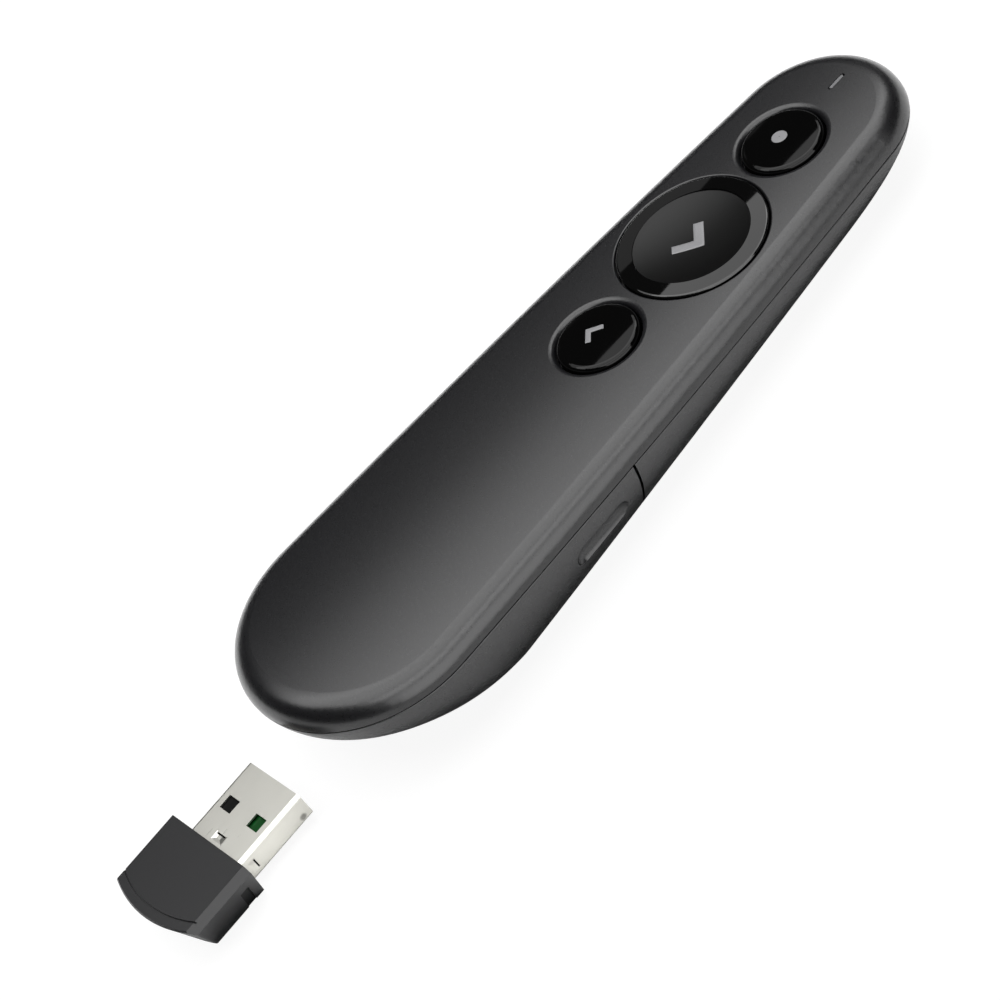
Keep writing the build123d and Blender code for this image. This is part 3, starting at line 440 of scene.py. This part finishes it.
# ---------------------------------------------------------------- battery
# One AAA cell in a plain printed sleeve: grey-blue with a copper-coloured band at the
# positive end, no words on it.
sleeve, tree, output = new_material("printed_shrink_sleeve")
place = add_node(tree, "ShaderNodeTexCoord").outputs["Object"]
axes = add_node(tree, "ShaderNodeSeparateXYZ", links={0: place})
low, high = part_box("battery_can")
share = add_node(tree, "ShaderNodeMapRange", {"From Min": low.y, "From Max": high.y},
                 {"Value": axes.outputs["Y"]})
bands = add_node(tree, "ShaderNodeValToRGB", links={"Fac": share.outputs[0]})
bands.color_ramp.interpolation = "CONSTANT"
bands.color_ramp.elements[0].color = hex_colour("#b3743c")
bands.color_ramp.elements[1].position = 0.24
bands.color_ramp.elements[1].color = hex_colour("#2c3440")
shader = add_node(tree, "ShaderNodeBsdfPrincipled", {"IOR": 1.5, "Roughness": 0.25},
                  {"Base Color": bands.outputs["Color"]})
tree.links.new(shader.outputs[0], output.inputs["Surface"])
dress(sleeve, "battery_can")

# ---------------------------------------------------------------- receiver housing
# Small shell in the same graphite ABS, its grain a little finer. The mirror levels of the
# shell and of the plug's nylon tongue are set below those of the plain plastics.
receiver_abs = moulded_plastic("spark_eroded_receiver_abs", "#131315", 0.34, 0.2, 0.004,
                               mirror=0.38)
dress(receiver_abs, "receiver_housing")
tongue_nylon = moulded_plastic("black_connector_nylon", "#0a0a0b", 0.4, 0.3, 0.004, mirror=0.12)
dress(tongue_nylon, "receiver_tongue")

# ---------------------------------------------------------------- plug shell
# The USB-A plug, folded from 0.3 mm stainless strip with a fine rolled grain along it. Two
# tabs are lanced inward beside the housing to hold the board, and a stop is dimpled in; the
# slits and the dimple's hollow are darkened with painted shade.
rolled_steel = metal("rolled_stainless_strip", "#c9c8c1", 0.3, (1, 0.05, 1), 0.25)
tree = rolled_steel.node_tree
place = add_node(tree, "ShaderNodeTexCoord").outputs["Object"]


def pressed(middle, half, soft, measure="MAXIMUM"):
    """Mask of a pressed mark: one inside a box, or inside a ball where the measure is
    LENGTH, about a middle point in mm, falling to zero over a soft rim."""
    away = add_node(tree, "ShaderNodeVectorMath", {
        "operation": "SUBTRACT", 1: np.array(middle) / 1000}, {0: place})
    share = add_node(tree, "ShaderNodeVectorMath", {
        "operation": "DIVIDE", 1: np.array(half) / 1000}, {0: away.outputs[0]})
    size = add_node(tree, "ShaderNodeVectorMath", {"operation": "LENGTH"},
                    {0: share.outputs[0]}).outputs["Value"]
    if measure == "MAXIMUM":
        flat = add_node(tree, "ShaderNodeVectorMath", {"operation": "ABSOLUTE"},
                        {0: share.outputs[0]})
        axes = add_node(tree, "ShaderNodeSeparateXYZ", links={0: flat.outputs[0]})
        wide = add_node(tree, "ShaderNodeMath", {"operation": "MAXIMUM"},
                        {0: axes.outputs["X"], 1: axes.outputs["Y"]})
        size = add_node(tree, "ShaderNodeMath", {"operation": "MAXIMUM"},
                        {0: wide.outputs[0], 1: axes.outputs["Z"]}).outputs[0]
    return add_node(tree, "ShaderNodeMapRange", {
        "From Min": 1 + soft, "From Max": 1 - soft}, {"Value": size}).outputs[0]


TOP_SLIT, SIDE_SLIT = (-0.45, -67.1, 5.75), (6.0, -67.05, 3.45)  # middles, in mm
TOP_TAB, SIDE_TAB = (-0.45, -67.55, 5.75), (6.0, -67.5, 3.45)
STOP = (6.0, -57.9, 2.3)
# Painted shade: the slits are painted near black, and the stop's dimple six tenths of the way.
slit = add_node(tree, "ShaderNodeMath", {"operation": "MAXIMUM"}, {
    0: pressed(TOP_SLIT, (0.95, 0.13, 0.3), 0.1), 1: pressed(SIDE_SLIT, (0.3, 0.13, 0.9), 0.1)})
tab = add_node(tree, "ShaderNodeMath", {"operation": "MAXIMUM"}, {
    0: pressed(TOP_TAB, (0.8, 0.5, 0.3), 0.5), 1: pressed(SIDE_TAB, (0.3, 0.5, 0.75), 0.5)})
stop = pressed(STOP, (0.5, 0.5, 0.5), 0.4, "LENGTH")
dimple = add_node(tree, "ShaderNodeMath", {"operation": "MAXIMUM"}, {0: tab.outputs[0], 1: stop})
dimple_shade = add_node(tree, "ShaderNodeMath", {"operation": "MULTIPLY", 1: 0.6}, {0: stop})
dark = add_node(tree, "ShaderNodeMath", {"operation": "MAXIMUM"},
                {0: slit.outputs[0], 1: dimple_shade.outputs[0]})
shader = tree.nodes["Principled BSDF"]
tint = add_node(tree, "ShaderNodeMix", {
    "data_type": "RGBA", 6: hex_colour("#c9c8c1"), 7: hex_colour("#101010")},
    {0: dark.outputs[0]})
tree.links.new(tint.outputs[2], shader.inputs["Base Color"])
stamped = add_node(tree, "ShaderNodeBump", {"invert": True, "Distance": 0.0001}, {
    "Height": dimple.outputs[0], "Normal": tree.nodes["Bump"].outputs["Normal"]})
tree.links.new(stamped.outputs["Normal"], shader.inputs["Normal"])
dress(rolled_steel, "receiver_shell")
